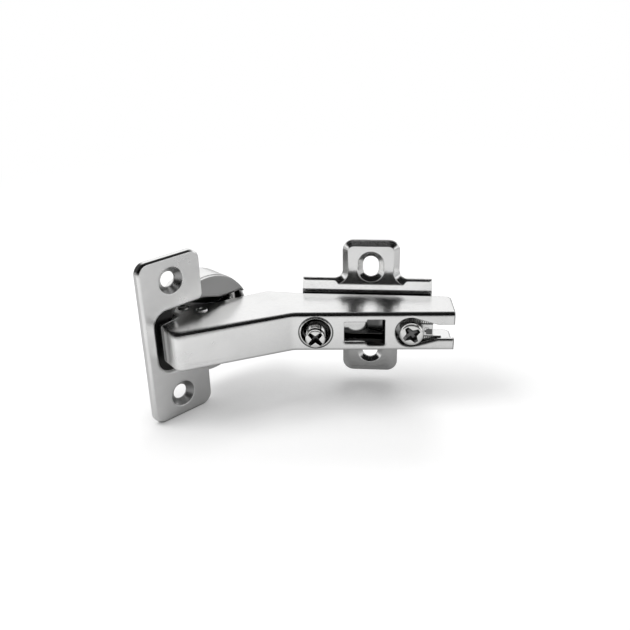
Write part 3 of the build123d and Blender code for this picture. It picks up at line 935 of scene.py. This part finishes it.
@dataclass
class Assembly:
    """A sub-assembly of the hinge, with the ways it hands its pieces to the frame."""

    finishes: Finishes

    def fit(self, piece: Object, body: Body, finish: MetalFinish, *nodes: str) -> None:
        """Dresses a new piece and lets it ride.

        Args:
            piece: The new piece.
            body: The body that it moves with.
            finish: Its finish.
            nodes: The CAD nodes that it stands for.
        """
        self.finishes.dress(piece, finish)
        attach(piece, body.value)
        if nodes:
            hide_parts(*nodes)
        LOG.info("%s rides on %s", piece.name, body.value)

    def keep(self, finish: MetalFinish, *nodes: str) -> None:
        """Keeps the own shapes of CAD nodes and gives them a finish.

        Args:
            finish: Their finish.
            nodes: The CAD nodes.
        """
        for node in nodes:
            self.finishes.dress(frame["nodes"][node], finish)
            LOG.info("%s keeps its shape", node)


@dataclass
class PlateDress(Assembly):
    """The pressed mounting plate, the grip ribs beside its tail, and dark sheets of painted shade under the
    ribs and in the tail's pocket.
    """

    bed: float = 18.0
    rib_start: float = 9.4
    rib_end: float = 22.9
    rib_pitch: float = 0.62
    rib_share: float = 0.6
    rib_height: float = 0.16
    rib_inset: float = 0.1
    rib_inner: float = 2.35
    rib_outer: float = 4.15
    strip_end: float = 24.3
    strip_middle: float = 0.2
    strip_thickness: float = 0.5
    pocket_size: float = 2.0
    pocket_thickness: float = 0.1
    pocket_at: float = 20.25
    pocket_face: float = -0.27
    pocket_drop: float = -0.6

    def build(self) -> None:
        """Builds and dresses the plate's pieces."""
        self.keep(self.finishes.plate, "mounting_plate")
        self.fit(self.ribs(), Body.PLATE, self.finishes.screw)
        # Dark sheets of painted shade under the ribs and in the tab's pocket.
        self.fit(self.rib_shade_strips(), Body.PLATE, self.finishes.recess)
        self.fit(self.tab_pocket_shade(), Body.PLATE, self.finishes.recess)

    def tab_pocket_shade(self) -> Object:
        """A dark sheet of painted shade in the square pocket pressed in the tail's tab."""
        bm = bmesh.new()
        MeshShop.box(bm, (self.pocket_at, self.pocket_face - self.bed, self.pocket_drop),
                     (self.pocket_size, self.pocket_thickness, self.pocket_size))
        bm.transform(Matrix.Scale(MM, 4))
        return MeshShop.object_from(bm, "tab_pocket_shade", sharp=30.0)

    def rib_shade_strips(self) -> Object:
        """Thin dark strips of painted shade that the ribs stand on, which reach past the plate's rear end."""
        span = (self.rib_start, self.strip_end - self.rib_start)
        return self.beside_tail("rib_shade_strips", [span], self.strip_middle, self.strip_thickness, 0.0)

    def ribs(self) -> Object:
        """Two rows of ribs, square in section, pressed up from the channel's bed."""
        count = int((self.rib_end - self.rib_start) / self.rib_pitch)
        spans = [(self.rib_start + index * self.rib_pitch, self.rib_pitch * self.rib_share)
                 for index in range(count)]
        return self.beside_tail("grip_ribs", spans, -self.rib_height / 2, self.rib_height, self.rib_inset)

    def beside_tail(self, name: str, spans: Sequence[tuple[float, float]], middle: float,
                    thickness: float, inset: float) -> Object:
        """Boxes in a row above the tail and in one below it.

        Args:
            name: Name of the piece.
            spans: Start and length of each box along the plate.
            middle: How far the boxes' middle lies behind the bed's face.
            thickness: Their thickness.
            inset: How far they stay inside the row's upper and lower edge.

        Returns:
            The boxes as one piece.
        """
        bm = bmesh.new()
        height = self.rib_outer - self.rib_inner
        for side in (1, -1):
            level = side * (self.rib_inner + self.rib_outer) / 2
            for start, length in spans:
                MeshShop.box(bm, (start + length / 2, middle - self.bed, level),
                             (length, thickness, height - 2 * inset))
        bm.transform(Matrix.Scale(MM, 4))
        return MeshShop.object_from(bm, name, sharp=30.0)


@dataclass
class ArmDress(Assembly):
    """The folded arm with its funnel and its two pins."""

    funnel_x: float = 7.5
    funnel_profile: Profile = (
        (6.02, -0.12), (5.96, 0.04), (5.56, 0.05), (5.5, 0.1), (5.3, 0.2), (5.1, 0.15),
        (5.04, 0.0), (4.7, -0.62), (4.36, -1.3), (3.92, -1.95), (3.62, -2.32), (3.42, -2.42),
        (3.42, -2.8), (4.2, -2.8), (5.2, -1.2),
    )
    # Radii of the funnel lip's rings that get the dark finish of painted shade.
    painted_shade_rings: Profile = ((5.52, 6.2), (4.2, 5.08))
    outer_pin: tuple[float, float] = (10.8, 0.1)
    inner_pin: tuple[float, float] = (7.7, -6.3)
    pin_radius: float = 1.25
    head_radius: float = 1.95
    head_height: float = 0.45
    arm_half: float = 7.0

    def build(self) -> None:
        """Builds and dresses the arm's pieces."""
        self.keep(self.finishes.pressed, "hinge_arm")
        place = MeshShop.frame_at(AXES.on_arm(self.funnel_x, 0.0), -AXES.into_arm())
        lip = MeshShop.turned("funnel_lip", self.funnel_profile, place, closed=True)
        # The lip's marked rings get the dark finish of painted shade.
        MeshShop.mark_rings(lip, place, self.painted_shade_rings)
        self.fit(lip, Body.ARM, self.finishes.screw)
        self.finishes.coat(lip, self.finishes.recess)
        for name, spot in (("arm_pin_outer", self.outer_pin), ("arm_pin_inner", self.inner_pin)):
            self.fit(self.pin(f"{name}_dressed", spot), Body.ARM, self.finishes.pin, name)

    def pin(self, name: str, spot: tuple[float, float]) -> Object:
        """A pin whose two heads are peened, each with a dimple and a ring.

        Args:
            name: Name of the piece.
            spot: The pin's place on the cup's axes.

        Returns:
            The pin.
        """
        top = self.arm_half + self.head_height
        head = [
            (self.pin_radius, self.arm_half - 0.02), (self.head_radius, self.arm_half),
            (self.head_radius, self.arm_half + 0.22), (self.head_radius - 0.16, top - 0.05),
            (self.head_radius - 0.42, top), (1.0, top - 0.02), (0.86, top - 0.14), (0.6, top - 0.22),
            (0.0, top - 0.24),
        ]
        profile = [(radius, -height) for radius, height in reversed(head)] + head
        return MeshShop.turned(name, profile, MeshShop.frame_at(AXES.on_cup(*spot), UP), steps=40)


@dataclass
class LinkageDress(Assembly):
    """The two links and the closing spring between them."""

    wire_radius: float = 0.45
    coil_radius: float = 1.85
    coil_half: float = 3.0
    whole_turns: int = 2
    steps_per_turn: int = 30
    web_leg: float = 13.35
    link_leg: float = 5.0
    outer_pivot: tuple[float, float] = (10.8, 0.1)
    cup_pivot: tuple[float, float] = (25.8, -4.31)

    def build(self) -> None:
        """Builds and dresses the linkage's pieces."""
        self.keep(self.finishes.link, "outer_link", "inner_link")
        self.fit(self.spring(), Body.OUTER_LINK, self.finishes.wire, "closing_spring")

    def spring(self) -> Object:
        """The coil round the outer arm pin, one leg to the link and one to the arm's web."""
        centre = AXES.on_cup(*self.outer_pivot)
        to_link = (AXES.on_cup(*self.cup_pivot) - centre).normalized()
        to_web = AXES.along_arm() * math.sin(AXES.bend) - AXES.into_arm() * math.cos(AXES.bend)
        link_side = to_link.cross(UP)
        web_side = UP.cross(to_web)
        first = math.atan2(link_side.y, link_side.x)
        last = math.atan2(web_side.y, web_side.x)
        sweep = (first - last) % (2 * math.pi) + 2 * math.pi * self.whole_turns
        points = [centre - UP * self.coil_half + link_side * self.coil_radius + to_link * self.link_leg]
        steps = self.steps_per_turn * self.whole_turns
        for step in range(steps + 1):
            angle = first - sweep * step / steps
            out = Vector((math.cos(angle), math.sin(angle), 0.0))
            rise = 2 * self.coil_half * step / steps - self.coil_half
            points.append(centre + out * self.coil_radius + UP * rise)
        points.append(centre + UP * self.coil_half + web_side * self.coil_radius + to_web * self.web_leg)
        return MeshShop.wire("closing_spring_wire", points, self.wire_radius)


@dataclass
class CupDress(Assembly):
    """The cast cup with its ears, and the pin and rivets that hold the links."""

    def build(self) -> None:
        """Dresses the cup's pieces."""
        self.keep(self.finishes.cast, "hinge_cup")
        self.keep(self.finishes.pin, "cup_pin", "cup_rivet_upper", "cup_rivet_lower")


@dataclass
class ScrewDress(Assembly):
    """The overlay screw in the funnel and the fixing screw in the fork."""

    overlay_x: float = 7.5
    overlay_face: float = 5.1
    overlay_foot: float = -10.63
    overlay_turn: float = 45.0
    fixing_x: float = 14.3
    fixing_face: float = 22.5
    fixing_tip: float = 10.5
    fixing_turn: float = 34.0

    def build(self) -> None:
        """Builds and dresses both screws."""
        overlay, fixing = self.overlay(), self.fixing()
        self.fit(overlay, Body.OVERLAY_SCREW, self.finishes.screw, "overlay_screw")
        self.fit(fixing, Body.FIXING_SCREW, self.finishes.screw, "fixing_screw")
        # The faces that the driver recess cut get the dark finish of painted shade.
        for screw in (overlay, fixing):
            self.finishes.coat(screw, self.finishes.recess)

    @staticmethod
    def recessed(head: Object, place: Matrix, face: float, turn: float,
                 cross: Sequence[float]) -> None:
        """Cuts the driver recess into a screw's head.

        Args:
            head: The head.
            place: Placement of the screw's axes.
            face: Where the head's face is along them.
            turn: How far the recess is turned, in degrees.
            cross: The recess's half width, reach, depth and waist.
        """
        mouth = place @ Matrix.Translation((0, 0, face)) @ Matrix.Rotation(math.radians(turn), 4, "Z")
        MeshShop.carve(head, MeshShop.cross_cutter(*cross, mouth))

    def overlay(self) -> Object:
        """The threaded adjuster: recess at its face, neck and foot at its end."""
        place = MeshShop.frame_at(AXES.on_arm(self.overlay_x, 0.0), -AXES.into_arm())
        face, foot = self.overlay_face, self.overlay_foot
        thread_start, neck_end = -4.6, -4.5
        head = MeshShop.turned("overlay_screw_face", (
            (0.0, face - 2.6), (3.0, face - 2.6), (3.1, face - 0.75), (3.28, face - 0.6), (3.28, face - 0.42),
            (3.05, face - 0.08), (2.85, face), (0.0, face)), place)
        self.recessed(head, place, face, self.overlay_turn, (0.55, 2.9, 2.0, 0.85))
        thread = MeshShop.threaded("overlay_screw_thread", (2.95, 3.3), 1.0, thread_start, face - 2.3,
                                   place)
        tail = MeshShop.turned("overlay_screw_foot", (
            (0.0, foot - 1.2), (2.7, foot - 1.2), (3.0, foot - 1.0), (3.2, foot - 0.1), (3.1, foot),
            (2.1, foot + 0.02), (1.98, foot + 0.2), (1.98, neck_end), (0.0, neck_end)), place)
        return self.joined("overlay_screw_dressed", (head, thread, tail))

    def fixing(self) -> Object:
        """The pan-headed screw that clamps the fork."""
        place = MeshShop.frame_at(Vector((self.fixing_x, 0.0, 0.0)), Vector((0.0, -1.0, 0.0)))
        face = self.fixing_face
        head = MeshShop.turned("fixing_screw_head", (
            (0.0, face - 1.6), (3.75, face - 1.6), (3.95, face - 1.45), (4.0, face - 1.2), (4.0, face - 0.75),
            (3.92, face - 0.45), (3.7, face - 0.2), (3.35, face - 0.06), (2.9, face), (0.0, face)), place)
        self.recessed(head, place, face, self.fixing_turn, (0.6, 3.05, 1.25, 1.25))
        thread = MeshShop.threaded("fixing_screw_thread", (2.1, 2.5), 0.8, self.fixing_tip, face - 1.55,
                                   place)
        return self.joined("fixing_screw_dressed", (head, thread))

    @staticmethod
    def joined(name: str, pieces: Sequence[Object]) -> Object:
        """Joins several meshes into a new one and removes them."""
        bm = bmesh.new()
        for piece in pieces:
            bm.from_mesh(piece.data)
            bpy.data.objects.remove(piece)
        return MeshShop.object_from(bm, name, sharp=36.0)


@dataclass(frozen=True)
class Panel:
    """A rectangular lamp or dark card.

    Args:
        name: Its name.
        place: Its middle, in millimetres.
        size: Its width and height, in millimetres.
        level: A lamp's power in watts, or how bright a card looks in the metal.
    """

    name: str
    place: Point
    size: tuple[float, float]
    level: float


@dataclass
class Studio:
    """Floor, background, lamps, dark cards and camera."""

    lamps: tuple[Panel, ...] = (
        Panel("left_softbox", (-330.0, -120.0, 420.0), (260.0, 220.0), 1.4),
        Panel("back_softbox", (60.0, 420.0, 380.0), (300.0, 200.0), 0.9),
    )
    cards: tuple[Panel, ...] = (
        Panel("low_flag", (0.0, -640.0, 275.0), (1600.0, 540.0), 0.01),
        Panel("high_flag", (0.0, -250.0, 650.0), (1400.0, 400.0), 0.01),
        Panel("right_flag", (560.0, 60.0, 500.0), (700.0, 240.0), 0.02),
    )
    lamp_aim: Point = (-20.0, -10.0, 0.0)
    sky_light: float = 0.4
    floor_level: float = -29.25
    floor_size: float = 8000.0
    floor_albedo: float = 0.92
    floor_roughness: float = 0.9
    # Grey of the floor where the metal mirrors it, with shade painted towards the hinge.
    shaded_floor_in_metal: tuple[float, float] = (0.92, 0.5)
    floor_fade: tuple[float, float] = (-85.0, -20.0)
    floor_lift: float = 0.3
    floor_end: tuple[float, float] = (130.0, 420.0)
    # Reach and strength of the contact shadow painted into the floor's colour.
    contact_reach: float = 30.0
    contact_power: float = 0.8
    camera_at: Point = (6.40, -241.77, 109.12)
    camera_right: Point = (0.99479, 0.09972, -0.02177)
    camera_up: Point = (-0.02240, 0.42138, 0.90661)
    camera_ahead: Point = (-0.09958, 0.90140, -0.42141)
    focal_pixels: float = 730.9
    frame_pixels: float = 630.0
    sensor_width: float = 36.0
    camera_reach: tuple[float, float] = (0.01, 20.0)

    def build(self) -> None:
        """Sets up everything around the hinge."""
        self.background()
        self.floor()
        for panel in self.lamps:
            self.lamp(panel)
        for panel in self.cards:
            self.card(panel)
        self.camera()
        bpy.context.scene.view_settings.view_transform = "Standard"

    def background(self) -> None:
        """A white background for the camera and for reflections, softer as a light."""
        world = bpy.data.worlds.new("studio")
        world.use_nodes = True
        bpy.context.scene.world = world
        bench = NodeBench(world.node_tree)
        sky = world.node_tree.nodes["Background"].inputs
        sky["Color"].default_value = WHITE
        path = bench.add("ShaderNodeLightPath").outputs
        kinds = ("Is Camera Ray", "Is Glossy Ray", "Is Transmission Ray")
        seen = bench.most(*(path[kind] for kind in kinds))
        bench.feed(bench.blend(seen, self.sky_light, 1.0), sky["Strength"])

    @staticmethod
    def sheet(name: str, place: Point, size: tuple[float, float], turn: Quaternion | None = None
              ) -> tuple[Object, Material]:
        """A flat sheet in a paint without shine.

        Args:
            name: Name of the sheet.
            place: Its middle, in millimetres.
            size: Its width and height, in millimetres.
            turn: How it is turned from lying level.

        Returns:
            The sheet and its paint.
        """
        bm = bmesh.new()
        bmesh.ops.create_grid(bm, x_segments=1, y_segments=1, size=0.5)
        stretch = Vector((size[0] * MM, size[1] * MM, 1.0))
        bm.transform(Matrix.LocRotScale(Vector(place) * MM, turn, stretch))
        made = MeshShop.object_from(bm, name)
        paint = bpy.data.materials.new(f"{name}_paint")
        paint.use_nodes = True
        shader = paint.node_tree.nodes["Principled BSDF"].inputs
        shader["Specular IOR Level"].default_value = 0.0
        shader["Emission Color"].default_value = WHITE
        made.data.materials.append(paint)
        return made, paint

    def floor(self) -> None:
        """A pale floor that keeps the shadow, with a contact shadow painted in near the hinge and shade
        painted where the metal mirrors it, and that fades into the background.
        """
        ground, paint = self.sheet("floor", (0.0, 0.0, self.floor_level), (self.floor_size, self.floor_size))
        shader = paint.node_tree.nodes["Principled BSDF"].inputs
        shader["Roughness"].default_value = self.floor_roughness
        bench = NodeBench(paint.node_tree)
        path = bench.add("ShaderNodeLightPath").outputs
        place = bench.place()
        _, depth, _ = bench.split(place)
        # Shade painted on the floor where the metal mirrors it, darker towards the hinge.
        mirrored = bench.ramp(depth, *metres(self.floor_fade), *self.shaded_floor_in_metal)
        away = bench.vector("LENGTH", place)["Value"]
        nearness = bench.ramp(away, *metres(self.floor_end), 1.0, 0.0)
        # A contact shadow painted into the floor's colour from ambient occlusion.
        reach = self.contact_reach * MM
        openness = bench.add("ShaderNodeAmbientOcclusion", samples=8, Distance=reach).outputs["AO"]
        painted_contact_shadow = bench.math("POWER", openness, self.contact_power)
        pale = bench.times(painted_contact_shadow, self.floor_albedo, nearness)
        bench.feed(bench.blend(path["Is Glossy Ray"], pale, mirrored), shader["Base Color"])
        glow = bench.times(path["Is Camera Ray"], bench.blend(nearness, 1.0, self.floor_lift))
        bench.feed(glow, shader["Emission Strength"])

    def lamp(self, panel: Panel) -> None:
        """One soft rectangular lamp aimed at the hinge, which the metal doesn't mirror."""
        light = bpy.data.lights.new(panel.name, "AREA")
        light.shape = "RECTANGLE"
        light.size, light.size_y = metres(panel.size)
        light.energy = panel.level
        holder = into_scene(panel.name, light)
        holder.location = Vector(panel.place) * MM
        aim = Vector(self.lamp_aim) - Vector(panel.place)
        holder.rotation_euler = aim.to_track_quat("-Z", "Y").to_euler()
        holder.visible_glossy = False

    def card(self, panel: Panel) -> None:
        """A dark card that only the metal sees, for the dark lines along its edges."""
        aim = -Vector(panel.place)
        flag, paint = self.sheet(panel.name, panel.place, panel.size, aim.to_track_quat("-Z", "Y"))
        shader = paint.node_tree.nodes["Principled BSDF"].inputs
        shader["Base Color"].default_value = BLACK
        shader["Emission Strength"].default_value = panel.level
        flag.visible_camera = False
        flag.visible_diffuse = False
        flag.visible_shadow = False

    def camera(self) -> None:
        """The camera at the photograph's place."""
        data = bpy.data.cameras.new("photograph_view")
        data.sensor_width = self.sensor_width
        data.lens = self.focal_pixels / self.frame_pixels * self.sensor_width
        data.clip_start, data.clip_end = self.camera_reach
        holder = into_scene("photograph_view", data)
        back = -Vector(self.camera_ahead)
        turn = Matrix((Vector(self.camera_right), Vector(self.camera_up), back)).transposed()
        holder.matrix_world = Matrix.Translation(Vector(self.camera_at) * MM) @ turn.to_4x4()
        bpy.context.scene.camera = holder


def main() -> None:
    """Builds the hinge's looks in order, from the plate to the cup, then the studio."""
    logging.basicConfig(level=logging.INFO, format="%(name)s: %(message)s")
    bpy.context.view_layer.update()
    finishes = Finishes()
    builders: tuple[Callable[[], None], ...] = (
        PlateDress(finishes).build, ArmDress(finishes).build, LinkageDress(finishes).build,
        CupDress(finishes).build, ScrewDress(finishes).build, Studio().build,
    )
    for build in builders:
        build()
    bpy.context.view_layer.update()


if __name__ == "__main__":
    main()
